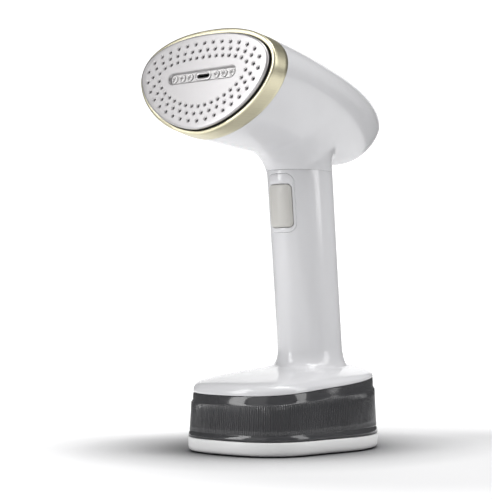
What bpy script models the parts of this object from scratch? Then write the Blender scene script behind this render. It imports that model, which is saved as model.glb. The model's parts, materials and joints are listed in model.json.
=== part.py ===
# Handheld garment steamer: upright handle, raked steam head, water tank as the foot.
# Blender 4.5.  Z is up, the steam plate faces -Y, X = 0 is the plane of symmetry and the
# origin is the middle of the rubber sole.  Lengths below are millimetres unless noted.
import bpy
import bmesh
from math import atan, cos, hypot, pi, radians, sin, sqrt, tan
from mathutils import Euler, Matrix, Vector

MM = 0.001
GAP = 0.3                       # clearance between two touching pieces
WALL = 2.2                      # moulded wall thickness
AROUND = 40                     # points around every lofted section

# --- steam head: local frame u (right), v (up the plate), w (into the head) ---
HEAD_ORIGIN = (0.0, -91.5, 247.6)
HEAD_TILT = radians(8.68)       # the plate leans back and faces slightly up
WIDEST = 8.0                    # height v of the plate's widest line
PLATE_HALF_WIDTH = 55.2
PLATE_UP = 24.4                 # widest line to top edge
PLATE_DOWN = 40.4               # widest line to bottom edge
ROUND_UP, ROUND_DOWN = 2.2, 1.75
PLATE_THICK = 1.8
RING_FRONT, RING_BACK = 3.2, 16.0
RING_LIP_SIZE = (58.8, 28.5, 43.4)    # half width, up, down
RING_BACK_SIZE = (59.8, 28.8, 43.8)
SHELL_FRONT = RING_BACK + GAP
SHELL_SIZE = (59.6, 28.6, 43.6)
SHELL_LENGTH = 191.5            # ring back to the tip of the tail
HOLES_PER_ROW = 32
HOLE_RADIUS = 0.7
NOZZLE_V = 4.2                  # height v of the nozzle strip

# --- handle ---
HANDLE_FOOT_Z = 66.9
HANDLE_FOOT_Y = 28.0
HANDLE_LEAN = 0.0938            # forward shift per unit of height
HANDLE_HALF_X, HANDLE_HALF_Y = 21.5, 25.5
SEAM_Z = 195.0                  # joint between handle and head housing
NECK_FILLET = 15.0
NECK_FRONT_TOP, NECK_SIDE_TOP, NECK_REAR_TOP = 209.0, 224.0, 206.0

# --- base ---
BASE_CENTRE_Y = -21.9
BASE_OUTLINE = (62.7, -18.1, 10.0, -3.5, -1.75)   # polar cosine terms, angle 0 at the front
TANK_FLOOR_Z = 10.3
TANK_TOP_Z = 43.3               # tank rim height at BASE_CENTRE_Y
TANK_TOP_RISE = 0.089
TANK_TOP_CURL = 0.0001
TANK_DRAFT = 3.3                # inset of the rim from the foot outline
COVER_SWELL = 1.2
COVER_BOSSES = ((34, 10, 7.2), (-34, 10, 7.2), (0, -34, 9.4))   # x, y, height above the rim

# --- moving pieces ---
TRIGGER_HALF_X, TRIGGER_HALF_Z = 9.4, 15.0
TRIGGER_ALONG = 105.2           # distance up the handle
BUTTON_ALONG = 92.0

parts = bpy.data.collections.new("garment_steamer")
cutters = bpy.data.collections.new("cutters")


# ---------------------------------------------------------------- helpers
def start_scene():
    for item in list(bpy.data.objects):
        bpy.data.objects.remove(item)
    for group in (parts, cutters):
        bpy.context.scene.collection.children.link(group)


def material(name, colour, roughness, metallic=0.0, alpha=1.0):
    made = bpy.data.materials.new(name)
    made.use_nodes = True
    shader = made.node_tree.nodes["Principled BSDF"]
    shader.inputs["Base Color"].default_value = (*colour, 1.0)
    shader.inputs["Roughness"].default_value = roughness
    shader.inputs["Metallic"].default_value = metallic
    shader.inputs["Alpha"].default_value = alpha
    return made


def add(name, mesh, finish=None, frame=None, at=(0, 0, 0), turn=(0, 0, 0)):
    item = bpy.data.objects.new(name, mesh)
    item.location = Vector(at) * MM
    item.rotation_euler = turn
    item.parent = frame
    if finish is None:
        cutters.objects.link(item)
        item.hide_render = True
        item.display_type = "WIRE"
    else:
        parts.objects.link(item)
        mesh.materials.append(finish)
        mesh.shade_smooth()
        mesh.set_sharp_from_angle(angle=radians(32))
    return item


def mesh_from(name, work):
    bmesh.ops.recalc_face_normals(work, faces=work.faces)
    mesh = bpy.data.meshes.new(name)
    work.to_mesh(mesh)
    work.free()
    return mesh


def loft(name, rings, finish=None, frame=None, hollow=False):
    """Skin rings of equal length; hollow joins the last ring back to the first."""
    work = bmesh.new()
    rows = [[work.verts.new(Vector(p) * MM) for p in ring] for ring in rings]
    around = len(rows[0])
    pairs = list(zip(rows, rows[1:]))
    if hollow:
        pairs.append((rows[-1], rows[0]))
    for low, high in pairs:
        for i in range(around):
            j = (i + 1) % around
            work.faces.new((low[i], low[j], high[j], high[i]))
    if not hollow:
        work.faces.new(rows[0])
        work.faces.new(rows[-1])
    return add(name, mesh_from(name, work), finish, frame)


def rod(name, radius, length, finish=None, frame=None, at=(0, 0, 0), turn=(0, 0, 0), sides=20,
        tip=None):
    """Cylinder or cone of the given length, centred on its location."""
    work = bmesh.new()
    bmesh.ops.create_cone(work, cap_ends=True, segments=sides, radius1=radius * MM,
                          radius2=(radius if tip is None else tip) * MM, depth=length * MM)
    return add(name, mesh_from(name, work), finish, frame, at, turn)


def block(name, size, finish=None, frame=None, at=(0, 0, 0), turn=(0, 0, 0), soften=0.0):
    work = bmesh.new()
    bmesh.ops.create_cube(work, size=MM, matrix=Matrix.Diagonal((*size, 1)))
    item = add(name, mesh_from(name, work), finish, frame, at, turn)
    if soften:
        bevel = item.modifiers.new("soften", "BEVEL")
        bevel.width = soften * MM
        bevel.segments = 2
    return item


def rounded_block(name, size, radius, finish=None, frame=None, at=(0, 0, 0), turn=(0, 0, 0)):
    """Block whose four edges along its local Y are rounded."""
    work = bmesh.new()
    bmesh.ops.create_cube(work, size=MM, matrix=Matrix.Diagonal((*size, 1)))
    along = [e for e in work.edges if abs(e.verts[0].co.y - e.verts[1].co.y) > 0.5 * size[1] * MM]
    bmesh.ops.bevel(work, geom=along, offset=radius * MM, segments=4, profile=0.5,
                    affect="EDGES")
    return add(name, mesh_from(name, work), finish, frame, at, turn)


def tube(name, points, radius, finish, frame=None, sides_level=2, smooth=6):
    """Round wire through the points, closed at both ends."""
    route = spread(points, smooth)
    curve = bpy.data.curves.new(name, "CURVE")
    curve.dimensions = "3D"
    curve.bevel_depth = radius * MM
    curve.bevel_resolution = sides_level
    curve.use_fill_caps = True
    spline = curve.splines.new("POLY")
    spline.points.add(len(route) - 1)
    for point, place in zip(spline.points, route):
        point.co = (*(Vector(place) * MM), 1.0)
    item = bpy.data.objects.new(name, curve)
    item.parent = frame
    parts.objects.link(item)
    curve.materials.append(finish)
    return item


def spread(points, steps):
    """Catmull-Rom points between the given ones."""
    if steps < 2:
        return points
    ends = [2 * Vector(points[0]) - Vector(points[1])]
    knots = ends + [Vector(p) for p in points] + [2 * Vector(points[-1]) - Vector(points[-2])]
    route = []
    for a, b, c, d in zip(knots, knots[1:], knots[2:], knots[3:]):
        for k in range(steps):
            t = k / steps
            route.append(0.5 * (2 * b + (c - a) * t + (2 * a - 5 * b + 4 * c - d) * t * t
                                + (3 * b - a - 3 * c + d) * t ** 3))
    return route + [Vector(points[-1])]


def boolean(item, other, kind="DIFFERENCE"):
    step = item.modifiers.new(kind.lower(), "BOOLEAN")
    step.operation = kind
    step.solver = "EXACT"
    step.object = other
    return item


def angles(count=AROUND):
    return [2 * pi * i / count for i in range(count)]


# ---------------------------------------------------------------- sections
def egg(angle, half_width, up, down, round_up=ROUND_UP, round_down=ROUND_DOWN):
    """Plate outline: two half superellipses that meet on the widest line."""
    c, s = cos(angle), sin(angle)
    rise, power = (up, round_up) if s >= 0 else (down, round_down)
    u = half_width * abs(c) ** (2 / power) * (1 if c >= 0 else -1)
    v = rise * abs(s) ** (2 / power) * (1 if s >= 0 else -1)
    return u, v


def head_point(u, v, w):
    x, y, z = HEAD_ORIGIN
    return (x + u, y + v * sin(HEAD_TILT) + w * cos(HEAD_TILT),
            z + v * cos(HEAD_TILT) - w * sin(HEAD_TILT))


def head_ring(w, half_width, up, down, centre=WIDEST, round_up=ROUND_UP, round_down=ROUND_DOWN):
    ring = []
    for angle in angles():
        u, v = egg(angle, half_width, up, down, round_up, round_down)
        ring.append(head_point(u, v + centre, w))
    return ring


def plate_ring(w, grow):
    """Outline parallel to the plate's edge, grow outwards."""
    return head_ring(w, PLATE_HALF_WIDTH + grow, PLATE_UP + grow, PLATE_DOWN + grow)


def shell_rings(inset=0.0, start=SHELL_FRONT):
    """Sections of the head shell from the ring to the tail, shrunk by inset."""
    steps = 11
    length = SHELL_LENGTH - inset
    rings = []
    for i in range(steps):
        t = 1 - (1 - i / (steps - 1)) ** 1.7
        t = min(t, 0.997)
        w = SHELL_FRONT + length * t if i else start
        width = (SHELL_SIZE[0] - inset) * (1 - t ** 1.45) ** 0.85
        up = (SHELL_SIZE[1] - inset) * (1 - t ** 4.6) ** 0.56
        down = (SHELL_SIZE[2] - inset) * (1 - t ** 5.5) ** 0.75
        centre = WIDEST + 13.0 * t - 1.2 * t * t
        rings.append(head_ring(w, width, up, down, centre, 2.2 - 0.4 * t, 1.75 - 0.3 * t))
    return rings


def handle_y(z):
    return HANDLE_FOOT_Y - (z - HANDLE_FOOT_Z) * HANDLE_LEAN


def handle_ring(z, grow=0.0, rear_grow=None):
    """Level oval section of the handle; rear_grow tapers the growth towards the rear."""
    ring = []
    for angle in angles():
        back = 0.5 - 0.5 * cos(angle)
        extra = grow if rear_grow is None else grow + (rear_grow - grow) * back ** 0.6
        ring.append(((HANDLE_HALF_X + extra) * sin(angle),
                     handle_y(z) - (HANDLE_HALF_Y + extra) * cos(angle), z))
    return ring


def base_point(angle, inset):
    """Point of the base outline, moved inwards along its normal."""
    reach = sum(term * cos(k * angle) for k, term in enumerate(BASE_OUTLINE))
    slope = sum(-k * term * sin(k * angle) for k, term in enumerate(BASE_OUTLINE))
    x, y = reach * sin(angle), -reach * cos(angle)
    dx = slope * sin(angle) + reach * cos(angle)
    dy = -slope * cos(angle) + reach * sin(angle)
    size = hypot(dx, dy)
    return x - inset * dy / size, y + inset * dx / size + BASE_CENTRE_Y


def rim_z(y):
    away = y - BASE_CENTRE_Y
    return TANK_TOP_Z + TANK_TOP_RISE * away + TANK_TOP_CURL * away * away


def level_ring(z, inset):
    return [(*base_point(a, inset), z) for a in angles()]


def rim_ring(raise_z, inset):
    """Ring that follows the sloping rim of the tank."""
    ring = []
    for angle in angles():
        x, y = base_point(angle, inset)
        ring.append((x, y, rim_z(y) + raise_z))
    return ring


def tank_ring(share, inset):
    """Ring part way from the tank's floor to its rim."""
    ring = []
    for angle in angles():
        x, y = base_point(angle, inset)
        ring.append((x, y, TANK_FLOOR_Z + (rim_z(y) - TANK_FLOOR_Z) * share))
    return ring


# ---------------------------------------------------------------- finishes
def make_finishes():
    table = {
        "white": ((0.86, 0.86, 0.87), 0.22, 0.0, 1.0),
        "foot_white": ((0.70, 0.70, 0.71), 0.40, 0.0, 1.0),
        "smoke": ((0.045, 0.045, 0.05), 0.12, 0.0, 0.85),
        "plate_metal": ((0.62, 0.61, 0.62), 0.38, 0.7, 1.0),
        "gold": ((0.72, 0.68, 0.50), 0.28, 1.0, 1.0),
        "dark_rubber": ((0.03, 0.03, 0.03), 0.75, 0.0, 1.0),
        "trigger_grey": ((0.55, 0.54, 0.51), 0.45, 0.0, 1.0),
        "cast": ((0.55, 0.56, 0.58), 0.5, 1.0, 1.0),
        "steel": ((0.6, 0.6, 0.62), 0.3, 1.0, 1.0),
        "black": ((0.04, 0.04, 0.045), 0.5, 0.0, 1.0),
        "silicone": ((0.75, 0.76, 0.74), 0.5, 0.0, 1.0),
        "copper": ((0.72, 0.35, 0.18), 0.35, 1.0, 1.0),
        "board": ((0.04, 0.22, 0.09), 0.5, 0.0, 1.0),
        "amber": ((0.8, 0.35, 0.05), 0.2, 0.0, 1.0),
        "lead_red": ((0.5, 0.05, 0.04), 0.5, 0.0, 1.0),
        "lead_blue": ((0.05, 0.1, 0.4), 0.5, 0.0, 1.0),
    }
    return {name: material(name, *look) for name, look in table.items()}


# ---------------------------------------------------------------- base
def sole_and_foot(look):
    sole = loft("sole_pad", [[(26 * cos(a), 34 * sin(a), z) for a in angles()] for z in (0.0, 1.4)],
                look["dark_rubber"])
    outer = [level_ring(z, inset) for z, inset in ((0.7, 3.4), (1.0, 1.6), (2.2, 0.4), (3.6, 0.0),
                                                   (10.0, -0.1))]
    inner = [level_ring(z, inset) for z, inset in ((10.0, 2.2), (3.9, 2.6))]
    foot = loft("foot", outer + inner, look["foot_white"])
    recess = loft("sole_recess", [[(26.3 * cos(a), 34.3 * sin(a), z) for a in angles()]
                                  for z in (-2.0, 1.7)])
    boolean(foot, recess)
    return sole, foot


def water_tank(look):
    """Smoked wall of the tank and the floor plate welded into it."""
    outer = [tank_ring(share, inset) for share, inset in
             ((0.0, -0.1), (0.10, 0.4), (0.13, 1.1), (0.83, 2.2), (0.85, 2.7), (1.0, TANK_DRAFT))]
    inner = [tank_ring(share, inset + WALL) for share, inset in ((1.0, TANK_DRAFT), (0.5, 1.9),
                                                                (0.0, 1.4))]
    loft("water_tank", outer + inner, look["smoke"], hollow=True)
    return loft("tank_floor", [level_ring(z, 1.4 + WALL + GAP) for z in (TANK_FLOOR_Z, 12.6)],
                look["smoke"])


def foot_screws(look, foot, floor):
    """Four screws through the foot into bosses under the tank's floor."""
    for i, (x, y) in enumerate(((34, -24), (-34, -24), (32, 34), (-32, 34))):
        boss = rod(f"tank_boss_{i + 1}", 3.4, 8.0, at=(x, y, 4.2 + 4.0), sides=14)
        boolean(floor, boss, "UNION")
        pilot = rod(f"tank_pilot_{i + 1}", 1.6, 8.0, at=(x, y, 5.2), sides=12)
        boolean(floor, pilot)
        hole = rod(f"foot_hole_{i + 1}", 1.6, 8.0, at=(x, y, 2.4), sides=12)
        boolean(foot, hole)
        seat = rod(f"foot_seat_{i + 1}", 3.1, 4.0, at=(x, y, 0.1), sides=16)
        boolean(foot, seat)
        screw = rod(f"foot_screw_{i + 1}", 1.3, 7.0, look["steel"], at=(x, y, 4.9), sides=12)
        cap = rod(f"foot_screw_cap_{i + 1}", 2.7, 0.8, at=(x, y, 1.4), sides=16)
        boolean(screw, cap, "UNION")


# ---------------------------------------------------------------- body of the handset
def cover_ring(raise_z, inset, drop=0.0):
    """Ring on the base cover, which is thinner above the rim towards the rear."""
    ring = []
    for angle in angles():
        x, y = base_point(angle, inset)
        ring.append((x, y, rim_z(y) + raise_z * (0.75 + 0.25 * cos(angle)) - drop))
    return ring


def body_rings(inset):
    """Base cover and handle in one run of sections, shrunk by the wall where inset is set."""
    drop = inset * 0.9
    rows = [cover_ring(GAP, TANK_DRAFT + inset), cover_ring(3.6, 3.6 + inset)]
    rows.append(cover_ring(6.2, 5.0 + inset, drop))
    edge = cover_ring(8.2, 8.0 + inset, drop)
    root = handle_ring(56.0 - drop, 7.0 - inset, 3.5 - inset)
    for share in (0.0, 0.3, 0.65, 1.0):
        swell = COVER_SWELL * sin(pi * share)
        rows.append([(*Vector(e[:2]).lerp(Vector(r[:2]), share), e[2] + (r[2] - e[2]) * share + swell)
                     for e, r in zip(edge, root)])
    rows += [handle_ring(z - drop, grow - inset, rear - inset) for z, grow, rear in
             ((57.8, 4.0, 2.0), (60.6, 1.8, 1.0), (65.0, 0.4, 0.3), (70.0, 0.0, 0.0))]
    rows += [handle_ring(z, grow - inset) for z, grow in ((130.0, 0.1), (SEAM_Z - GAP, 0.4))]
    return rows


def body_shell(look, handle):
    shell = loft("body_shell", body_rings(0.0) + body_rings(WALL)[::-1], look["white"], hollow=True)
    for i, (x, y, height) in enumerate(COVER_BOSSES):
        boss = rod(f"cover_boss_{i + 1}", 3.2, height - 1.4,
                   at=(x, y, rim_z(y) + (height + 1.4) / 2), sides=12)
        boolean(shell, boss, "UNION")
        pilot = rod(f"cover_pilot_{i + 1}", 1.6, 6.0, at=(x, y, rim_z(y) + 3.6), sides=10)
        boolean(shell, pilot)
    boolean(shell, rounded_block("bezel_window", (23.2, 24, 41.8), 6.3, frame=handle,
                                 at=(0, -25, 107.1)))
    boolean(shell, rounded_block("rear_window", (31.0, 30, 124.0), 4.3, frame=handle,
                                 at=(0, 25, 62.0)))
    return shell


def rear_cover(look, handle):
    """Access cover in the back of the handle."""
    cover = loft("rear_cover", body_rings(0.0) + body_rings(WALL)[::-1], look["white"], hollow=True)
    boolean(cover, rounded_block("rear_cover_outline", (30.4, 30, 123.4), 4.0, frame=handle,
                                 at=(0, 25, 62.0)), "INTERSECT")
    boolean(cover, rod("button_hole", 5.0, 12, frame=handle, at=(0, 24, BUTTON_ALONG),
                       turn=(pi / 2, 0, 0)))
    boolean(cover, rod("lens_hole", 1.9, 12, frame=handle, at=(0, 24, BUTTON_ALONG + 12),
                       turn=(pi / 2, 0, 0), sides=14))
    boolean(cover, rod("inlet_hole", 5.6, 12, frame=handle, at=(0, 24, 9.0),
                       turn=(pi / 2, 0, 0)))
    return cover


def underplate(look):
    """Floor of the handset: a sloping plate under the base cover, with its seal and screws."""
    rings = [rim_ring(dz, inset) for dz, inset in ((-1.2, 6.3), (0.6, 6.3))]
    plate = loft("underplate", rings, look["black"])
    boolean(plate, rod("intake_hole", 3.4, 20, at=(0, 21.3, 46.0), sides=16))
    for i, (x, y, _) in enumerate(COVER_BOSSES):
        boolean(plate, rod(f"underplate_hole_{i + 1}", 1.6, 14, at=(x, y, rim_z(y)), sides=12))
        screw = rod(f"underplate_screw_{i + 1}", 1.3, 7.4, look["steel"],
                    at=(x, y, rim_z(y) + 1.6), sides=12)
        cap = rod(f"underplate_cap_{i + 1}", 2.7, 1.2, at=(x, y, rim_z(y) - 2.15), sides=16)
        boolean(screw, cap, "UNION")
    seal = [rim_ring(dz, inset) for dz, inset in ((-4.4, 6.0), (-1.5, 6.0), (-1.5, 9.0), (-4.4, 9.0))]
    loft("tank_seal", seal, look["dark_rubber"], hollow=True)
    return plate


# ---------------------------------------------------------------- trigger group
def trigger_group(look, handle):
    middle = TRIGGER_ALONG
    bezel = loft("trigger_bezel", grip_rings(0.5, 3) + grip_rings(-2.4, 3)[::-1], look["white"],
                 hollow=True)
    boolean(bezel, rounded_block("bezel_outline", (22.6, 24, 41.2), 6.0, frame=handle,
                                 at=(0, -25, 107.1)), "INTERSECT")
    boolean(bezel, rounded_block("trigger_window", (19.4, 30, 30.6), 3.3, frame=handle,
                                 at=(0, -25, middle)))
    pivot = bpy.data.objects.new("trigger_slide", None)
    pivot.parent = handle
    pivot.location = Vector((0, -HANDLE_HALF_Y, middle)) * MM
    parts.objects.link(pivot)
    front = rounded_block("trigger", (2 * TRIGGER_HALF_X, 10.0, 2 * TRIGGER_HALF_Z), 3.0,
                          look["trigger_grey"], pivot, at=(0, 2.9, 0))
    boolean(front, loft("trigger_face", grip_rings(1.3, 3)), "INTERSECT")
    boolean(front, block("trigger_lip", (22.2, 1.4, 33.4), frame=pivot, at=(0, 7.4, 0)), "UNION")
    boolean(front, block("trigger_hollow", (15.2, 12.0, 26.4), frame=pivot, at=(0, 8.4, 0)))
    bracket = block("switch_bracket", (27.0, 1.6, 36.0), look["black"], handle, at=(0, -13.6, 105.0))
    boolean(bracket, block("plunger_slot", (4.2, 6.0, 6.2), frame=handle, at=(0, -13.6, 101.0)))
    switch = block("microswitch", (6.4, 9.0, 19.8), look["black"], handle, at=(0, -8.0, 104.0))
    boolean(switch, block("switch_plunger", (2.8, 9.0, 4.4), frame=handle, at=(0, -16.0, 101.0)),
            "UNION")
    spring_coil(look, handle)


def grip_rings(grow, count):
    """Oval sections over the trigger's stretch of the handle."""
    low, high = 140.0, SEAM_Z + 4
    return [handle_ring(low + (high - low) * i / (count - 1), grow + 0.3) for i in range(count)]


def spring_coil(look, handle):
    turns, radius, start, end = 5, 2.6, -20.4, -15.2
    steps = turns * 8
    points = [(radius * cos(2 * pi * turns * i / steps), start + (end - start) * i / steps,
               113.5 + radius * sin(2 * pi * turns * i / steps)) for i in range(steps + 1)]
    tube("trigger_spring", points, 0.35, look["steel"], handle, sides_level=1, smooth=1)


# ---------------------------------------------------------------- pump, board and wiring
def pump_group(look, handle):
    y = -6.0
    body = rod("water_pump", 6.6, 50.0, look["black"], handle, at=(0, y, 41.0))
    boolean(body, rod("pump_inlet", 2.4, 14.0, frame=handle, at=(0, y, 12.6), sides=14), "UNION")
    boolean(body, rod("pump_outlet", 2.4, 14.0, frame=handle, at=(0, y, 69.4), sides=14), "UNION")
    coil = rod("pump_coil", 12.4, 24.0, look["copper"], handle, at=(0, y, 41.0), sides=28)
    boolean(coil, rod("coil_bore", 6.95, 40.0, frame=handle, at=(0, y, 41.0)))
    yoke = block("pump_yoke", (27.6, 14.0, 29.4), look["steel"], handle, at=(0, y, 41.0))
    boolean(yoke, block("yoke_inside", (25.6, 20.0, 24.8), frame=handle, at=(0, y, 41.0)))
    boolean(yoke, rod("yoke_bore", 6.95, 60.0, frame=handle, at=(0, y, 41.0)))
    for name, z in (("pump_mount_lower", 21.0), ("pump_mount_upper", 61.0)):
        mount = rod(name, 14.0, 5.0, look["dark_rubber"], handle, at=(0, y, z), sides=24)
        boolean(mount, rod(name + "_bore", 6.9, 12.0, frame=handle, at=(0, y, z)))


def board_group(look, handle):
    block("control_board", (25.0, 1.6, 76.0), look["board"], handle, at=(0, 15.6, 74.0))
    block("power_relay", (12.0, 6.4, 16.0), look["black"], handle, at=(-5, 11.2, 88.0), soften=0.6)
    rod("line_capacitor", 4.2, 14.0, look["amber"], handle, at=(6.5, 10.2, 72.0), sides=16)
    block("tact_switch", (6.0, 2.4, 6.0), look["black"], handle, at=(0, 18.0, BUTTON_ALONG))
    button = rod("power_button", 4.6, 5.4, look["trigger_grey"], handle,
                 at=(0, 23.3, BUTTON_ALONG), turn=(pi / 2, 0, 0), sides=24)
    boolean(button, rod("button_flange", 5.8, 1.0, frame=handle, at=(0, 21.4, BUTTON_ALONG),
                        turn=(pi / 2, 0, 0), sides=24), "UNION")
    rod("indicator_lens", 1.6, 3.4, look["amber"], handle, at=(0, 24.1, BUTTON_ALONG + 12),
        turn=(pi / 2, 0, 0), sides=14)
    bush = rod("cord_bush", 5.3, 6.0, look["dark_rubber"], handle, at=(0, 23.3, 9.0),
               turn=(pi / 2, 0, 0), sides=24)
    boolean(bush, rod("bush_flange", 6.4, 1.2, frame=handle, at=(0, 20.9, 9.0),
                      turn=(pi / 2, 0, 0), sides=24), "UNION")
    boolean(bush, rod("bush_bore", 3.3, 16, frame=handle, at=(0, 24, 9.0), turn=(pi / 2, 0, 0),
                      sides=20))


def plumbing(look):
    intake = [(0, 20.6, 70.6), (0, 21.0, 60.0), (0, 21.3, 50.0), (0, 21.3, 19.0)]
    tube("intake_tube", intake, 2.9, look["silicone"], smooth=3)
    strainer = rod("intake_filter", 6.5, 9.0, look["black"], at=(0, 21.3, 18.2), sides=20)
    boolean(strainer, rod("filter_bore", 3.2, 9.0, at=(0, 21.3, 21.0), sides=16))
    feed = [(0, 14.7, 144.0), (1.5, 14.4, 150.0), (11.0, 17.0, 164.0), (11.0, 15.5, 190.0),
            (8.0, 4.0, 209.0), (3.0, -24.0, 217.0), (0, -48.0, 217.9), (0, -56.5, 219.0)]
    tube("feed_tube", feed, 2.5, look["silicone"], smooth=5)


# ---------------------------------------------------------------- steam head
def row_of_holes(half_width, up, down, middle, shift, count):
    """Evenly spaced points along an egg outline; shift moves the start by part of a step."""
    fine = 1440
    line = [egg(pi / 2 - 2 * pi * i / fine, half_width, up, down) for i in range(fine + 1)]
    reach = [0.0]
    for (u0, v0), (u1, v1) in zip(line, line[1:]):
        reach.append(reach[-1] + hypot(u1 - u0, v1 - v0))
    points, k = [], 0
    for i in range(count):
        goal = (i + shift) / count * reach[-1]
        while reach[k + 1] < goal:
            k += 1
        points.append((line[k][0], line[k][1] + middle))
    return points


def steam_plate(look, head):
    rings = [plate_ring(w, grow) for w, grow in ((0.0, -1.9), (0.35, -0.8), (1.0, -0.1), (PLATE_THICK, 0.0))]
    plate = loft("steam_plate", rings, look["plate_metal"])
    work = bmesh.new()
    rows = ((49.0, 17.95, 35.1, 8.3, 0.0), (44.1, 13.2, 30.0, 8.2, 0.5), (38.6, 9.3, 24.3, 7.4, 0.0))
    for row in rows:
        for u, v in row_of_holes(*row, HOLES_PER_ROW):
            bmesh.ops.create_cone(work, cap_ends=True, segments=5, radius1=HOLE_RADIUS * MM,
                                  radius2=HOLE_RADIUS * MM, depth=8 * MM,
                                  matrix=Matrix.Translation(Vector((u, v, 0)) * MM))
    boolean(plate, add("hole_pins", mesh_from("hole_pins", work), None, head))
    boolean(plate, slot_block("nozzle_trough", 58.0, 7.8, 10.0, 0.0, None, head))
    return plate


def slot_block(name, length, height, depth, out, finish, head):
    """Stadium-shaped block on the steam head, centred on the nozzle line."""
    radius = height / 2
    straight = length / 2 - radius
    outline = []
    for side in (1, -1):
        for i in range(9):
            a = -pi / 2 + pi * i / 8
            outline.append((side * (straight + radius * cos(a)), side * radius * sin(a) + NOZZLE_V))
    rings = [[(u, v, out - depth / 2) for u, v in outline], [(u, v, out + depth / 2) for u, v in outline]]
    return loft(name, rings, finish, head)


def nozzle_strip(look, head):
    """Strip behind the plate; its slot boss and six jets stand in the trough."""
    strip = slot_block("nozzle_strip", 61.0, 10.8, 1.4, -2.8, look["plate_metal"], head)
    boolean(strip, slot_block("slot_boss", 13.8, 6.0, 2.0, -2.2, None, head), "UNION")
    for i, u in enumerate((-25.0, -18.2, -11.4, 11.4, 18.2, 25.0)):
        boolean(strip, rod(f"jet_{i + 1}", 2.6, 2.0, frame=head, at=(u, NOZZLE_V, -2.3), sides=16),
                "UNION")
        boolean(strip, rod(f"jet_hole_{i + 1}", 0.8, 8.0, frame=head, at=(u, NOZZLE_V, -2.3),
                           sides=8))
    boolean(strip, slot_block("slot_hole", 10.8, 2.6, 8.0, -2.3, None, head))


def steam_chamber(look, head):
    gasket = [plate_ring(w, grow) for w, grow in ((2.1, -0.5), (6.0, -0.5), (6.0, -5.5), (2.1, -5.5))]
    loft("plate_gasket", gasket, look["dark_rubber"], hollow=True)
    rings = [plate_ring(w, grow) for w, grow in ((6.3, -6.4), (24.0, -6.4))]
    chamber = loft("steam_chamber", rings, look["cast"])
    boolean(chamber, loft("chamber_pocket", [plate_ring(w, -11.5) for w in (2.0, 14.0)]))
    boolean(chamber, rod("inlet_nipple", 2.2, 13.0, frame=head, at=(0, -22.0, -29.5), sides=14),
            "UNION")
    boolean(chamber, rod("inlet_bore", 1.2, 40.0, frame=head, at=(0, -22.0, -29.5), sides=10))
    labyrinth = block("chamber_baffle", (62, 1.6, 7.0), look["cast"], head, at=(0, -2.4, -10.2))
    boolean(labyrinth, block("baffle_gap", (10, 6, 9), frame=head, at=(16, -2.4, -10.2)))
    boolean(labyrinth, block("baffle_bridge", (12, 1.6, 2.0), frame=head, at=(16, -2.4, -12.7)),
            "UNION")
    arms = [(-24, 12, -46), (-24, 12, -32), (-26, 11, -28), (-30, 4, -27.7), (-26, -6, -27.7),
            (-12, -12, -27.7), (12, -12, -27.7), (26, -6, -27.7), (30, 4, -27.7), (26, 11, -28),
            (24, 12, -32), (24, 12, -46)]
    tube("heating_element", arms, 3.2, look["steel"], head, smooth=3)
    thermostat = rod("thermostat", 7.0, 5.0, look["black"], head, at=(0, 10, -26.8), sides=24)
    boolean(thermostat, block("thermostat_tabs", (20, 4.6, 0.8), frame=head, at=(0, 10, -28.6)),
            "UNION")
    rod("thermal_fuse", 2.1, 12.0, look["silicone"], head, at=(-16, -24, -26.5),
        turn=(0, pi / 2, 0), sides=14)


def head_trim(look, head):
    carrier = [plate_ring(w, grow) for w, grow in ((6.3, -0.9), (20.0, -0.9), (20.0, -5.9),
                                                   (6.3, -5.9))]
    carrier = loft("chamber_carrier", carrier, look["black"], hollow=True)
    for i, angle in enumerate((32, 148, 222, 318)):
        u, v = egg(radians(angle), PLATE_HALF_WIDTH - 3.4, PLATE_UP - 3.4, PLATE_DOWN - 3.4)
        spot = (u, v + WIDEST, -17.0)
        boolean(carrier, rod(f"carrier_hole_{i + 1}", 1.6, 18.0, frame=head, at=spot, sides=12))
        screw = rod(f"carrier_screw_{i + 1}", 1.3, 12.0, look["steel"], head,
                    at=(u, v + WIDEST, -15.5), sides=12)
        boolean(screw, rod(f"carrier_cap_{i + 1}", 2.5, 1.6, frame=head,
                           at=(u, v + WIDEST, -21.2), sides=16), "UNION")
    rings = [plate_ring(w, grow) for w, grow in (
        (RING_FRONT + 2.0, 0.4), (RING_FRONT + 0.3, 0.4), (RING_FRONT, 0.9), (RING_FRONT, 2.4))]
    rings += [head_ring(RING_FRONT + 1.0, *RING_LIP_SIZE), head_ring(RING_BACK, *RING_BACK_SIZE),
              plate_ring(RING_BACK, 2.2)]
    return loft("trim_ring", rings, look["gold"], hollow=True)


def neck_rings():
    """Neck from the seam up into the head; its fillet is full at the front, small at the rear."""
    rows, steps = [], 8
    for i in range(steps):
        share = i / (steps - 1)
        flare = NECK_FILLET * (1 - sqrt(1 - min(share, 0.98) ** 2))
        ring = []
        for angle in angles():
            front, back = max(cos(angle), 0.0), max(-cos(angle), 0.0)
            weight = 0.35 + 0.65 * front ** 2 - 0.20 * back
            top = NECK_SIDE_TOP + (NECK_FRONT_TOP - NECK_SIDE_TOP) * front ** 1.5 \
                + (NECK_REAR_TOP - NECK_SIDE_TOP) * back ** 1.5
            z = SEAM_Z + (top - SEAM_Z) * share
            grow = 0.4 + flare * weight
            ring.append(((HANDLE_HALF_X + grow) * sin(angle),
                         handle_y(z) - (HANDLE_HALF_Y + grow) * cos(angle), z))
        rows.append(ring)
    return rows + [handle_ring(NECK_SIDE_TOP + 2, -14.0)]


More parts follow.
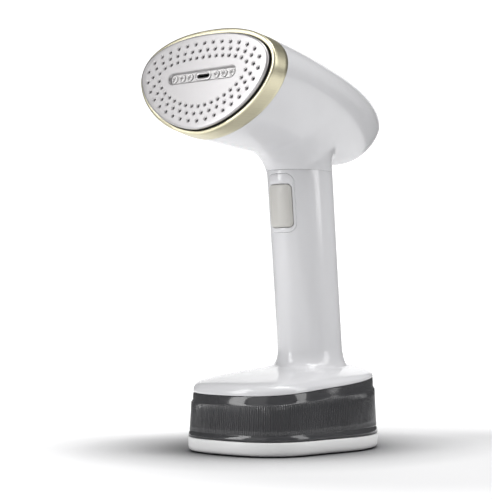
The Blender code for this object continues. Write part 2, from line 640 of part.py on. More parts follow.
def head_housing(look):
    housing = loft("head_housing", shell_rings(), look["white"])
    boolean(housing, loft("neck_outside", neck_rings()), "UNION")
    boolean(housing, loft("head_inside", shell_rings(WALL, 10.0)))
    bore = [handle_ring(z, 0.4 - WALL) for z in (SEAM_Z - 2, NECK_SIDE_TOP + 4)]
    boolean(housing, loft("neck_inside", bore))
    return housing


def heater_leads(look):
    """Two insulated leads from the board up to the element's terminals."""
    for name, side, finish in (("live_lead", 1, "lead_red"), ("neutral_lead", -1, "lead_blue")):
        route = [(side * 9.0, 27.0, 180.0), (side * 10.0, 22.0, 196.0), (side * 16.0, 8.0, 222.0),
                 (side * 22.0, -18.0, 242.0), (side * 24.0, -38.0, 250.5),
                 (side * 24.0, -43.4, 252.2)]
        tube(name, route, 1.3, look[finish], smooth=4)


# ---------------------------------------------------------------- assembly
def build():
    start_scene()
    look = make_finishes()
    head = bpy.data.objects.new("head_frame", None)
    head.location = Vector(HEAD_ORIGIN) * MM
    head.rotation_euler = (pi / 2 - HEAD_TILT, 0, 0)
    handle = bpy.data.objects.new("handle_frame", None)
    handle.location = Vector((0, HANDLE_FOOT_Y, HANDLE_FOOT_Z)) * MM
    handle.rotation_euler = (atan(HANDLE_LEAN), 0, 0)
    for empty in (head, handle):
        parts.objects.link(empty)
    sole, foot = sole_and_foot(look)
    floor = water_tank(look)
    foot_screws(look, foot, floor)
    body_shell(look, handle)
    rear_cover(look, handle)
    underplate(look)
    trigger_group(look, handle)
    pump_group(look, handle)
    board_group(look, handle)
    plumbing(look)
    steam_plate(look, head)
    nozzle_strip(look, head)
    steam_chamber(look, head)
    head_trim(look, head)
    head_housing(look)
    heater_leads(look)


build()
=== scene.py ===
import bpy
import bmesh
import json
import numpy as np
from math import cos, pi, radians, sin
from mathutils import Matrix, Vector


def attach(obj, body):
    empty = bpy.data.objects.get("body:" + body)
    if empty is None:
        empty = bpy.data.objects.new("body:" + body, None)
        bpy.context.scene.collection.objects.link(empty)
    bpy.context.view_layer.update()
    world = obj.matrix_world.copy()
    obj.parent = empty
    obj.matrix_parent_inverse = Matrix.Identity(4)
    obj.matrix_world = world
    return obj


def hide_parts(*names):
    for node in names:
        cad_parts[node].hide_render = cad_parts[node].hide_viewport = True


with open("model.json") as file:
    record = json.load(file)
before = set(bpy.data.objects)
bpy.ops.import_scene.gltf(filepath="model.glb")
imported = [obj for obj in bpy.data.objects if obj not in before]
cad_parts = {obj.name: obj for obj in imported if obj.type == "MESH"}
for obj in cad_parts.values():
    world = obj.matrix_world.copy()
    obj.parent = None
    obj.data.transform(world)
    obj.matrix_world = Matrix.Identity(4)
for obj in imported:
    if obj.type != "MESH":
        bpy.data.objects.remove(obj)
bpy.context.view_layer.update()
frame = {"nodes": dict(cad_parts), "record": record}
nodes = frame["nodes"]
mm = 0.001                     # shapes are worked out in millimetres

# camera
cameraSetup = {"place": (622.0, -799.0, 100.0), "swing": 39.5, "pitch": 2.2, "lens": 103.35}


def makeCamera():
    data = bpy.data.cameras.new("steamerCamera")
    camera = bpy.data.objects.new("steamerCamera", data)
    bpy.context.scene.collection.objects.link(camera)
    camera.location = Vector(cameraSetup["place"]) * mm
    camera.rotation_euler = (radians(90 + cameraSetup["pitch"]), 0, radians(cameraSetup["swing"]))
    data.lens = cameraSetup["lens"]
    data.sensor_width = 36
    data.clip_start = 0.02
    bpy.context.scene.camera = camera


makeCamera()
print("camera ready")


# finishes
def newMaterial(name, colour, roughness, metallic=0.0):
    material = bpy.data.materials.new(name)
    material.use_nodes = True
    shader = material.node_tree.nodes["Principled BSDF"]
    shader.inputs["Base Color"].default_value = (*colour, 1)
    shader.inputs["Roughness"].default_value = roughness
    shader.inputs["Metallic"].default_value = metallic
    return material, shader


def noiseNode(tree, scale, detail=3.0, stretch=(1, 1, 1), turn=(0, 0, 0)):
    place = tree.nodes.new("ShaderNodeTexCoord")
    mapping = tree.nodes.new("ShaderNodeMapping")
    mapping.inputs["Scale"].default_value = stretch
    mapping.inputs["Rotation"].default_value = turn
    noise = tree.nodes.new("ShaderNodeTexNoise")
    noise.inputs["Scale"].default_value = scale
    noise.inputs["Detail"].default_value = detail
    tree.links.new(place.outputs["Object"], mapping.inputs["Vector"])
    tree.links.new(mapping.outputs["Vector"], noise.inputs["Vector"])
    return noise


def spreadValue(tree, source, socket, low, high):
    ranger = tree.nodes.new("ShaderNodeMapRange")
    ranger.inputs["To Min"].default_value = low
    ranger.inputs["To Max"].default_value = high
    tree.links.new(source, ranger.inputs["Value"])
    tree.links.new(ranger.outputs["Result"], socket)


def tintBetween(tree, source, socket, dark, light):
    ramp = tree.nodes.new("ShaderNodeValToRGB")
    ramp.color_ramp.elements[0].position = 0.3
    ramp.color_ramp.elements[1].position = 0.7
    ramp.color_ramp.elements[0].color = (*dark, 1)
    ramp.color_ramp.elements[1].color = (*light, 1)
    tree.links.new(source, ramp.inputs["Fac"])
    tree.links.new(ramp.outputs["Color"], socket)


def addBump(tree, shader, source, strength, depth):
    bump = tree.nodes.new("ShaderNodeBump")
    bump.inputs["Strength"].default_value = strength
    bump.inputs["Distance"].default_value = depth
    tree.links.new(source, bump.inputs["Height"])
    tree.links.new(bump.outputs["Normal"], shader.inputs["Normal"])


grainDepth = 0.00002           # metres
brushDepth = 0.00003


def mouldedPlastic(name, colour, roughness, grain=900.0, drift=0.03):
    material, shader = newMaterial(name, colour, roughness)
    tree = material.node_tree
    cloud = noiseNode(tree, 22.0)
    fine = noiseNode(tree, grain)
    darker = tuple(c * (1 - drift) for c in colour)
    tintBetween(tree, cloud.outputs["Fac"], shader.inputs["Base Color"], darker, colour)
    spreadValue(tree, fine.outputs["Fac"], shader.inputs["Roughness"], roughness * 0.85, roughness * 1.2)
    addBump(tree, shader, fine.outputs["Fac"], 0.35, grainDepth)
    return material


def coatedMetal(name, colour, roughness, grain=1400.0, metallic=0.85):
    material, shader = newMaterial(name, colour, roughness, metallic)
    tree = material.node_tree
    cloud = noiseNode(tree, 30.0)
    fine = noiseNode(tree, grain, detail=2.0)
    tintBetween(tree, cloud.outputs["Fac"], shader.inputs["Base Color"],
                tuple(c * 0.96 for c in colour), colour)
    spreadValue(tree, fine.outputs["Fac"], shader.inputs["Roughness"], roughness * 0.9, roughness * 1.15)
    addBump(tree, shader, fine.outputs["Fac"], 0.5, grainDepth)
    return material


def brushedMetal(name, colour, roughness, stretch, turn=(0, 0, 0)):
    material, shader = newMaterial(name, colour, roughness, 1.0)
    tree = material.node_tree
    lines = noiseNode(tree, 60.0, detail=4.0, stretch=stretch, turn=turn)
    tintBetween(tree, lines.outputs["Fac"], shader.inputs["Base Color"],
                tuple(c * 0.9 for c in colour), colour)
    spreadValue(tree, lines.outputs["Fac"], shader.inputs["Roughness"], roughness * 0.8, roughness * 1.25)
    addBump(tree, shader, lines.outputs["Fac"], 0.4, brushDepth)
    return material


headTilt = radians(8.68)
finish = {
    "shellWhite": mouldedPlastic("shellWhite", (0.63, 0.63, 0.645), 0.13),
    "footWhite": mouldedPlastic("footWhite", (0.80, 0.80, 0.80), 0.38),
    "plateSatin": coatedMetal("plateSatin", (0.46, 0.45, 0.455), 0.32, metallic=0.65),
    "nozzleSatin": coatedMetal("nozzleSatin", (0.55, 0.54, 0.54), 0.28, metallic=0.5),
    "champagne": brushedMetal("champagne", (0.64, 0.60, 0.435), 0.34, (1, 1, 60),
                              (radians(90) - headTilt, 0, 0)),
    "triggerGrey": mouldedPlastic("triggerGrey", (0.50, 0.49, 0.465), 0.34, grain=1200.0),
    "blackRubber": mouldedPlastic("blackRubber", (0.022, 0.022, 0.024), 0.62, grain=700.0),
    "blackPlastic": mouldedPlastic("blackPlastic", (0.035, 0.035, 0.038), 0.45),
    "castMetal": coatedMetal("castMetal", (0.52, 0.53, 0.55), 0.5, grain=500.0, metallic=1.0),
    "plainSteel": brushedMetal("plainSteel", (0.60, 0.60, 0.62), 0.3, (1, 1, 20)),
    "copperWinding": brushedMetal("copperWinding", (0.70, 0.33, 0.16), 0.35, (1, 1, 40)),
    "milkySilicone": mouldedPlastic("milkySilicone", (0.72, 0.73, 0.71), 0.4),
    "boardGreen": mouldedPlastic("boardGreen", (0.03, 0.20, 0.08), 0.4, drift=0.25),
    "amberLens": mouldedPlastic("amberLens", (0.80, 0.34, 0.05), 0.12),
    "leadRed": mouldedPlastic("leadRed", (0.48, 0.04, 0.035), 0.42),
    "leadBlue": mouldedPlastic("leadBlue", (0.04, 0.09, 0.38), 0.42),
}


smokedLook = {"colour": (0.088, 0.088, 0.093), "roughness": 0.10, "dark": (0.062, 0.062, 0.066),
              "light": (0.085, 0.085, 0.09), "clear": 0.35}


def smokedPlastic(name):
    material, shader = newMaterial(name, smokedLook["colour"], smokedLook["roughness"])
    tree = material.node_tree
    cloud = noiseNode(tree, 14.0)
    tintBetween(tree, cloud.outputs["Fac"], shader.inputs["Base Color"],
                smokedLook["dark"], smokedLook["light"])
    fine = noiseNode(tree, 500.0)
    addBump(tree, shader, fine.outputs["Fac"], 0.15, grainDepth)
    shader.inputs["Transmission Weight"].default_value = smokedLook["clear"]
    shader.inputs["IOR"].default_value = 1.5
    return material


finish["smokedTank"] = smokedPlastic("smokedTank")
print("materials ready")


# shapes are rings of points skinned into closed meshes
def ringAngles(count):
    return np.arange(count) * 2 * pi / count


def looseShape(name, points, faces):
    mesh = bpy.data.meshes.new(name)
    mesh.from_pydata((np.asarray(points) * mm).tolist(), [], faces)
    mesh.update()
    work = bmesh.new()
    work.from_mesh(mesh)
    bmesh.ops.recalc_face_normals(work, faces=work.faces)
    work.to_mesh(mesh)
    work.free()
    item = bpy.data.objects.new(name, mesh)
    bpy.context.scene.collection.objects.link(item)
    return item


def makePiece(name, points, faces, finishName, body, stands, slot, sharp):
    item = looseShape(name, points, faces)
    dress(item, finishName, sharp)
    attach(item, body)
    if stands:
        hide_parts(*stands)
    return item


def dress(item, finishName, sharp):
    item.data.materials.clear()
    item.data.materials.append(finish[finishName])
    item.data.shade_smooth()
    item.data.set_sharp_from_angle(angle=radians(sharp))


def skinRings(rings, closed=False):
    count, around = len(rings), len(rings[0])
    points = np.concatenate([np.asarray(r) for r in rings])
    faces = []
    for i in range(count if closed else count - 1):
        low, high = i * around, ((i + 1) % count) * around
        for j in range(around):
            k = (j + 1) % around
            faces.append((low + j, low + k, high + k, high + j))
    if not closed:
        faces.append(tuple(range(around))[::-1])
        faces.append(tuple((count - 1) * around + j for j in range(around)))
    return points, faces


def easeRows(rows, steps):
    # cubic B-spline through rows of points, held at both ends
    rows = [np.asarray(r, float) for r in rows]
    held = [rows[0] * 2 - rows[1]] + rows + [rows[-1] * 2 - rows[-2]]
    out = []
    for a, b, c, d in zip(held, held[1:], held[2:], held[3:]):
        for k in range(steps):
            t = k / steps
            out.append((a * (1 - t) ** 3 + b * (3 * t ** 3 - 6 * t * t + 4)
                        + c * (-3 * t ** 3 + 3 * t * t + 3 * t + 1) + d * t ** 3) / 6)
    return out + [rows[-1]]


def cutWith(item, *cutters):
    for cutter in cutters:
        step = item.modifiers.new("cut", "BOOLEAN")
        step.operation = "DIFFERENCE"
        step.solver = "EXACT"
        step.object = cutter
    graph = bpy.context.evaluated_depsgraph_get()
    made = bpy.data.meshes.new_from_object(item.evaluated_get(graph))
    item.modifiers.clear()
    old = item.data
    item.data = made
    bpy.data.meshes.remove(old)
    for cutter in cutters:
        bpy.data.objects.remove(cutter)


# foot and tank share one outline; the sole is an oval
baseShape = {"centreY": -21.9, "outline": (62.7, -18.1, 10.0, -3.5, -1.75),
             "floorZ": 10.3, "rimZ": 43.3, "rise": 0.089, "curl": 0.0001}
tankLook = {"ribs": 252, "ribDepth": 0.34, "bandBottom": 0.135, "bandTop": 0.80, "wall": 2.2}


def basePoints(angles, inset):
    reach = sum(term * np.cos(k * angles) for k, term in enumerate(baseShape["outline"]))
    slope = sum(-k * term * np.sin(k * angles) for k, term in enumerate(baseShape["outline"]))
    x, y = reach * np.sin(angles), -reach * np.cos(angles)
    dx = slope * np.sin(angles) + reach * np.cos(angles)
    dy = -slope * np.cos(angles) + reach * np.sin(angles)
    size = np.hypot(dx, dy)
    return x - inset * dy / size, y + inset * dx / size + baseShape["centreY"]


def rimHeight(y):
    away = y - baseShape["centreY"]
    return baseShape["rimZ"] + baseShape["rise"] * away + baseShape["curl"] * away * away


def levelRing(count, z, inset):
    x, y = basePoints(ringAngles(count), inset)
    return np.stack([x, y, np.full_like(x, z)], 1)


def makeFoot():
    outer = [levelRing(256, z, inset) for z, inset in
             ((0.7, 3.6), (0.75, 2.6), (1.05, 1.6), (1.6, 0.85), (2.4, 0.35), (3.6, 0.05), (5.5, 0.0),
              (9.5, -0.1), (9.8, 0.0), (9.95, 0.25))]
    inner = [levelRing(256, z, inset) for z, inset in ((9.95, 2.3), (3.9, 2.7))]
    points, faces = skinRings(outer + inner)
    foot = makePiece("footShell", points, faces, "footWhite", "base", ("foot",), "white_foot", 50)
    angles = ringAngles(96)
    rings = [np.stack([26.3 * np.cos(angles), 34.3 * np.sin(angles), np.full(96, z)], 1)
             for z in (-2.0, 1.7)]
    cutWith(foot, looseShape("soleRecess", *skinRings(rings)))
    pad = [np.stack([r * 26.0 * np.cos(angles), (34.0 - 26.0 * (1 - r)) * np.sin(angles),
                     np.full(96, z)], 1) for r, z in ((0.985, 0.0), (1.0, 0.3), (1.0, 1.4))]
    makePiece("solePad", *skinRings(pad), "blackRubber", "base", ("sole_pad",), "dark_rubber", 50)


def makeTank():
    count = tankLook["ribs"] * 6
    angles = ringAngles(count)
    x, y = basePoints(angles, 1.5)
    step = np.hypot(np.roll(x, -1) - x, np.roll(y, -1) - y)
    run = np.concatenate([[0], np.cumsum(step)[:-1]]) / step.sum()
    rib = (0.5 - 0.5 * np.cos(run * 2 * pi * tankLook["ribs"])) ** 0.7

    def tankRing(share, inset, ribs=0.0):
        px, py = basePoints(angles, inset - ribs * tankLook["ribDepth"] * rib)
        z = baseShape["floorZ"] + (rimHeight(py) - baseShape["floorZ"]) * share
        return np.stack([px, py, z], 1)

    low, high = tankLook["bandBottom"], tankLook["bandTop"]
    rows = [(0.0, 0.25, 0), (0.012, 0.0, 0), (0.05, 0.0, 0), (0.098, 0.35, 0), (0.115, 0.75, 0),
            (low, 1.05, 0), (low + 0.012, 1.08, 1)]
    rows += [(low + (high - low) * k / 6, 1.08 + 1.25 * k / 6, 1) for k in range(1, 6)]
    rows += [(high - 0.012, 2.32, 1), (high, 2.42, 0), (high + 0.02, 2.75, 0), (0.86, 2.85, 0),
             (0.985, 3.25, 0), (1.0, 3.5, 0)]
    outer = [tankRing(*row) for row in rows]
    wall = tankLook["wall"]
    inner = [tankRing(share, inset + wall) for share, inset in ((1.0, 3.3), (0.5, 1.9), (0.0, 1.4))]
    points, faces = skinRings(outer + inner, closed=True)
    makePiece("smokedTankShell", points, faces, "smokedTank", "base", ("water_tank",),
              "smoked_tank", 40)


makeFoot()
makeTank()
print("base ready")


# handle and base cover are one moulding
handleShape = {"footZ": 66.9, "footY": 28.0, "lean": 0.0938, "halfX": 21.5, "halfY": 25.5,
               "seamZ": 195.0}
coverShape = {"swell": 1.2, "wall": 2.2, "around": 240, "steps": 5}


def handleY(z):
    return handleShape["footY"] - (z - handleShape["footZ"]) * handleShape["lean"]


def handleRing(count, z, grow, rearGrow=None):
    angles = ringAngles(count)
    back = 0.5 - 0.5 * np.cos(angles)
    extra = grow + ((grow if rearGrow is None else rearGrow) - grow) * back ** 0.6
    return np.stack([(handleShape["halfX"] + extra) * np.sin(angles),
                     handleY(z) - (handleShape["halfY"] + extra) * np.cos(angles),
                     np.full(count, float(z))], 1)


def coverRing(lift, inset, drop=0.0):
    angles = ringAngles(coverShape["around"])
    x, y = basePoints(angles, inset)
    return np.stack([x, y, rimHeight(y) + lift * (0.75 + 0.25 * np.cos(angles)) - drop], 1)


def bodyRows(inset):
    drop = inset * 0.9
    count = coverShape["around"]
    rows = [coverRing(3.6, 3.6 + inset), coverRing(6.2, 5.0 + inset, drop)]
    edge = coverRing(8.2, 8.0 + inset, drop)
    root = handleRing(count, 56.0 - drop, 7.0 - inset, 3.5 - inset)
    for share in (0.0, 0.3, 0.65, 1.0):
        row = edge * (1 - share) + root * share
        row[:, 2] += coverShape["swell"] * sin(pi * share)
        rows.append(row)
    rows += [handleRing(count, z - drop, grow - inset, rear - inset) for z, grow, rear in
             ((57.8, 4.0, 2.0), (60.6, 1.8, 1.0), (65.0, 0.4, 0.3), (70.0, 0.0, 0.0))]
    rows += [handleRing(count, z, grow - inset) for z, grow in
             ((80.0, 0.0), (105.0, 0.05), (130.0, 0.1), (160.0, 0.25), (185.0, 0.38))]
    return rows


def makeBody():
    count = coverShape["around"]
    wall = coverShape["wall"]
    rim = [coverRing(0.3, 3.75), coverRing(0.5, 3.42), coverRing(0.9, 3.3)]
    outer = rim + easeRows(bodyRows(0.0), coverShape["steps"])
    outer += [handleRing(count, handleShape["seamZ"] - 0.25, 0.4),
              handleRing(count, handleShape["seamZ"] - 0.08, 0.3)]
    inner = [handleRing(count, handleShape["seamZ"] - 0.08, 0.4 - wall)]
    inner += easeRows(bodyRows(wall), 2)[::-1] + [coverRing(0.3, 3.3 + wall)]
    points, faces = skinRings(outer + inner, closed=True)
    return makePiece("bodyShell", points, faces, "shellWhite", "handset", ("body_shell",),
                     "white_shell", 50)


# trigger, bezel and rear cover follow the curve of the handle
def roundedOutline(halfX, halfZ, corner, perCorner=10, perSide=8):
    corner = max(min(corner, halfX, halfZ), 0.05)
    line = []
    for cx, cz, start in ((halfX - corner, halfZ - corner, 0), (corner - halfX, halfZ - corner, 90),
                          (corner - halfX, corner - halfZ, 180), (halfX - corner, corner - halfZ, 270)):
        arc = [(cx + corner * cos(radians(start + 90 * k / perCorner)),
                cz + corner * sin(radians(start + 90 * k / perCorner))) for k in range(perCorner + 1)]
        line.append(arc)
    whole = []
    for arc, after in zip(line, line[1:] + line[:1]):
        whole += arc
        whole += [(arc[-1][0] + (after[0][0] - arc[-1][0]) * k / perSide,
                   arc[-1][1] + (after[0][1] - arc[-1][1]) * k / perSide) for k in range(1, perSide)]
    return np.array(whole)


def onHandle(outline, midZ, grow, side):
    # wraps a flat outline round the front (-1) or the rear (1) of the handle
    x, z = outline[:, 0], outline[:, 1] + midZ
    halfX, halfY = handleShape["halfX"] + grow, handleShape["halfY"] + grow
    y = handleY(z) + side * halfY * np.sqrt(np.clip(1 - (x / halfX) ** 2, 0.0, 1))
    return np.stack([x, y, z], 1)


def patchRings(size, midZ, layers, side):
    halfX, halfZ, corner = size
    return [onHandle(roundedOutline(halfX - inset, halfZ - inset, corner - inset), midZ, grow, side)
            for inset, grow in layers]


def patchSolid(size, midZ, layers, side, caps=(0.35, 0.7, 0.92)):
    # layers run from the back edge to the front edge; shrinking rings close the back and the face
    rings = patchRings(size, midZ, layers, side)
    halfX, halfZ, corner = size
    ends = []
    for inset, grow in (layers[0], layers[-1]):
        outline = roundedOutline(halfX - inset, halfZ - inset, corner - inset)
        ends.append([onHandle(outline * (1 - share), midZ, grow, side) for share in caps])
    return skinRings(ends[0][::-1] + rings + ends[1])


def sideCutter(name, size, midZ, side, reach=(-8.0, 6.0)):
    return looseShape(name, *skinRings(patchRings(size, midZ, ((0, reach[0]), (0, reach[1])), side)))


skinGrow = 0.28                # how far the handle swells out at the trigger
triggerLook = {"midZ": 169.6, "size": (9.4, 15.0, 3.0), "proud": 1.7}
bezelLook = {"midZ": 171.6, "size": (11.3, 20.6, 6.0), "window": (9.7, 15.3, 3.3), "proud": 0.35}
rearLook = {"midZ": 130.5, "size": (15.2, 61.5, 4.0), "gap": 0.14}
buttonLook = {"midZ": 160.5, "radius": 5.0, "proud": 0.9}
lensLook = {"midZ": 172.6, "radius": 1.6, "proud": 0.3}
bushLook = {"midZ": 77.8, "radius": 5.5, "proud": 1.0, "bore": 2.6}


def makeTriggerGroup(body):
    halfX, halfZ, corner = bezelLook["size"]
    cutWith(body, sideCutter("bezelCut", (halfX + 0.12, halfZ + 0.12, corner), bezelLook["midZ"], -1),
            sideCutter("rearCut", tuple(s + 0.12 for s in rearLook["size"]), rearLook["midZ"], 1))
    dress(body, "shellWhite", 50)
    proud = bezelLook["proud"] + skinGrow
    outer = patchRings(bezelLook["size"], bezelLook["midZ"],
                       ((0.0, -2.0), (0.0, proud - 0.45), (0.12, proud - 0.15), (0.4, proud)), -1)
    inner = patchRings(bezelLook["window"], triggerLook["midZ"],
                       ((-0.5, proud), (-0.18, proud - 0.12), (0.0, proud - 0.45), (0.0, -2.0)), -1)
    makePiece("triggerBezel", *skinRings(outer + inner, closed=True), "shellWhite", "handset",
              ("trigger_bezel",), "white_shell", 50)
    face = triggerLook["proud"] + skinGrow
    layers = ((0.0, -2.3), (0.0, face - 1.3), (0.12, face - 0.7), (0.5, face - 0.2), (1.1, face))
    makePiece("steamTrigger", *patchSolid(triggerLook["size"], triggerLook["midZ"], layers, -1),
              "triggerGrey", "trigger", ("trigger",), "trigger_grey", 50)


def roundPatch(look):
    # a round piece set into the rear cover
    proud = look["proud"]
    rim = ((0.0, -3.0), (0.0, proud - 0.5), (0.15, proud - 0.15), (0.5, proud))
    return (look["radius"],) * 3, look["midZ"], rim, 1


def makeRearCover():
    rear = patchSolid(rearLook["size"], rearLook["midZ"],
                      ((0.0, -2.0), (0.0, -0.1), (0.1, 0.1), (0.3, 0.18)), 1)
    cover = makePiece("rearCover", *rear, "shellWhite", "handset", ("rear_cover",), "white_shell", 50)
    for look in (buttonLook, lensLook, bushLook):
        hole = (look["radius"] + rearLook["gap"],) * 3
        cutWith(cover, sideCutter("coverHole", hole, look["midZ"], 1, (-7.0, 6.0)))
    dress(cover, "shellWhite", 50)
    makePiece("powerButton", *patchSolid(*roundPatch(buttonLook)), "shellWhite", "power_button",
              ("power_button",), "white_shell", 50)
    makePiece("indicatorLens", *patchSolid(*roundPatch(lensLook)), "amberLens", "handset",
              ("indicator_lens",), "amber_lens", 50)
    proud = bushLook["proud"]
    bore = patchRings((bushLook["bore"],) * 3, bushLook["midZ"],
                      ((-0.4, proud), (0.0, proud - 0.4), (0.0, -3.0)), 1)
    bush = skinRings(patchRings(*roundPatch(bushLook)) + bore, closed=True)
    makePiece("cordBush", *bush, "blackRubber", "handset", ("cord_bush",), "dark_rubber", 50)


bodyShell = makeBody()
makeTriggerGroup(bodyShell)
makeRearCover()
print("handle ready")


# steam head, with w running back from the plate
headShape = {"origin": (0.0, -91.5, 247.6), "widest": 8.0, "start": 16.3, "length": 191.5,
             "size": (59.6, 28.6, 43.6), "voxel": 1.1, "neckEnd": 212.0, "frontBlend": 18.0,
             "rearBlend": 7.0, "neckReach": 23, "neckFade": 20, "neckRise": 25}
plateShape = {"size": (55.2, 24.4, 40.4), "ringFront": 3.2, "ringBack": 16.0,
              "ringBackSize": (59.8, 28.8, 43.8), "lipSize": (58.8, 28.5, 43.4)}


def eggPoints(angles, half, up, down, roundUp=2.2, roundDown=1.75):
    c, s = np.cos(angles), np.sin(angles)
    rise = np.where(s >= 0, up, down)
    power = np.where(s >= 0, roundUp, roundDown)
    u = half * np.abs(c) ** (2 / power) * np.sign(c)
    v = rise * np.abs(s) ** (2 / power) * np.sign(s)
    return u, v


def headToWorld(u, v, w):
    x, y, z = headShape["origin"]
    return np.stack([x + u, y + v * sin(headTilt) + w * cos(headTilt),
                     z + v * cos(headTilt) - w * sin(headTilt)], -1)


def worldToHead(points):
    d = points - np.array(headShape["origin"])
    v = d[:, 1] * sin(headTilt) + d[:, 2] * cos(headTilt)
    w = d[:, 1] * cos(headTilt) - d[:, 2] * sin(headTilt)
    return d[:, 0], v, w


def eggRing(count, w, half, up, down, centre=None, roundUp=2.2, roundDown=1.75):
    u, v = eggPoints(ringAngles(count), half, up, down, roundUp, roundDown)
    return headToWorld(u, v + (headShape["widest"] if centre is None else centre), np.full(count, w))


def plateRing(count, w, grow):
    half, up, down = plateShape["size"]
    return eggRing(count, w, half + grow, up + grow, down + grow)


def shellSection(t):
    half, up, down = headShape["size"]
    return (half * (1 - t ** 1.45) ** 0.85, up * (1 - t ** 4.6) ** 0.56, down * (1 - t ** 5.5) ** 0.75,
            headShape["widest"] + 13.0 * t - 1.2 * t * t, 2.2 - 0.4 * t, 1.75 - 0.3 * t)


def headField(points):
    u, v, w = worldToHead(points)
    t = np.clip((w - headShape["start"]) / headShape["length"], 0.0, 0.998)
    half, up, down, centre, roundUp, roundDown = shellSection(t)
    above = v >= centre
    reach = np.where(above, up, down)
    power = np.where(above, roundUp, roundDown)
    level = ((np.abs(u) / half) ** power + (np.abs(v - centre) / reach) ** power) ** (1 / power)
    return (level - 1) * 30


def neckField(points):
    halfX, halfY = handleShape["halfX"] + 0.4, handleShape["halfY"] + 0.4
    y = points[:, 1] - handleY(points[:, 2])
    side = (np.sqrt((points[:, 0] / halfX) ** 2 + (y / halfY) ** 2) - 1) * headShape["neckReach"]
    # the neck fades out inside the head
    over = np.clip(points[:, 2] - headShape["neckEnd"], 0, None) / headShape["neckFade"]
    return side + over * over * headShape["neckRise"]


def slopeOf(field, points, step=0.05):
    slope = np.zeros_like(points)
    for axis in range(3):
        nudge = np.zeros(3)
        nudge[axis] = step
        slope[:, axis] = (field(points + nudge) - field(points - nudge)) / (2 * step)
    return slope


def distanceTo(field, points):
    return field(points) / np.maximum(np.linalg.norm(slopeOf(field, points), axis=1), 0.2)


def housingField(points):
    head, neck = distanceTo(headField, points), distanceTo(neckField, points)
    back = np.clip((points[:, 1] - handleY(points[:, 2])) / 50 + 0.5, 0, 1)
    back = back * back * (3 - 2 * back)
    blend = headShape["frontBlend"] * (1 - back) + headShape["rearBlend"] * back
    overlap = np.clip(blend - np.abs(head - neck), 0, None) / blend
    return np.minimum(head, neck) - overlap * overlap * blend / 4


def settle(points, rounds=6):
    # walks each point onto the blended surface
    for _ in range(rounds):
        value = housingField(points)
        slope = slopeOf(housingField, points)
        size = np.maximum((slope ** 2).sum(1), 0.3)
        points = points - np.clip(value / size, -2.5, 2.5)[:, None] * slope
    return points


def voxelMesh(item, voxel):
    step = item.modifiers.new("remesh", "REMESH")
    step.mode = "VOXEL"
    step.voxel_size = voxel * mm
    graph = bpy.context.evaluated_depsgraph_get()
    made = bpy.data.meshes.new_from_object(item.evaluated_get(graph))
    item.modifiers.clear()
    return made


def meshPoints(mesh):
    flat = np.empty(len(mesh.vertices) * 3)
    mesh.vertices.foreach_get("co", flat)
    return flat.reshape(-1, 3) / mm


def makeHousing():
    rows = []
    for i in range(40):
        t = min(1 - (1 - i / 39) ** 1.6, 0.998)
        half, up, down, centre, roundUp, roundDown = shellSection(t)
        rows.append(eggRing(120, headShape["start"] + headShape["length"] * t, half, up, down, centre,
                            roundUp, roundDown))
    rows = [eggRing(120, 8.0, *headShape["size"])] + rows
    seam = handleShape["seamZ"]
    neck = [handleRing(96, z, 0.4) for z in (seam - 8, seam + 5, seam + 22)]
    headPoints, headFaces = skinRings(rows)
    neckPoints, neckFaces = skinRings(neck)
    faces = headFaces + [tuple(v + len(headPoints) for v in f) for f in neckFaces]
    rough = looseShape("housingRough", np.concatenate([headPoints, neckPoints]), faces)
    for voxel in (headShape["voxel"] * 1.6, headShape["voxel"]):
        made = voxelMesh(rough, voxel)
        points = meshPoints(made)
        w = worldToHead(points)[2]
        free = (w > headShape["start"] - 5) & (points[:, 2] > seam - 5)
        free &= w < headShape["start"] + headShape["length"] * 0.985
        points[free] = settle(points[free])
        made.vertices.foreach_set("co", (points * mm).ravel())
        rough.data = made
    work = bmesh.new()
    work.from_mesh(rough.data)
    bpy.data.objects.remove(rough)
    forward = Vector((0, cos(headTilt), -sin(headTilt)))
    start = Vector(headShape["origin"]) * mm + forward * (headShape["start"] - 0.2) * mm
    for place, normal in ((start, -forward), (Vector((0, 0, seam)) * mm, Vector((0, 0, -1)))):
        geometry = list(work.verts) + list(work.edges) + list(work.faces)
        bmesh.ops.bisect_plane(work, geom=geometry, dist=1e-7, plane_co=place, plane_no=normal,
                               clear_outer=True)
        rim = [e for e in work.edges if e.is_boundary]
        bmesh.ops.contextual_create(work, geom=rim)
    bmesh.ops.recalc_face_normals(work, faces=work.faces)
    mesh = bpy.data.meshes.new("headHousing")
    work.to_mesh(mesh)
    work.free()
    item = bpy.data.objects.new("headHousing", mesh)
    bpy.context.scene.collection.objects.link(item)
    dress(item, "shellWhite", 50)
    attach(item, "handset")
    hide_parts("head_housing")
    print("head housing has", len(mesh.vertices), "points")


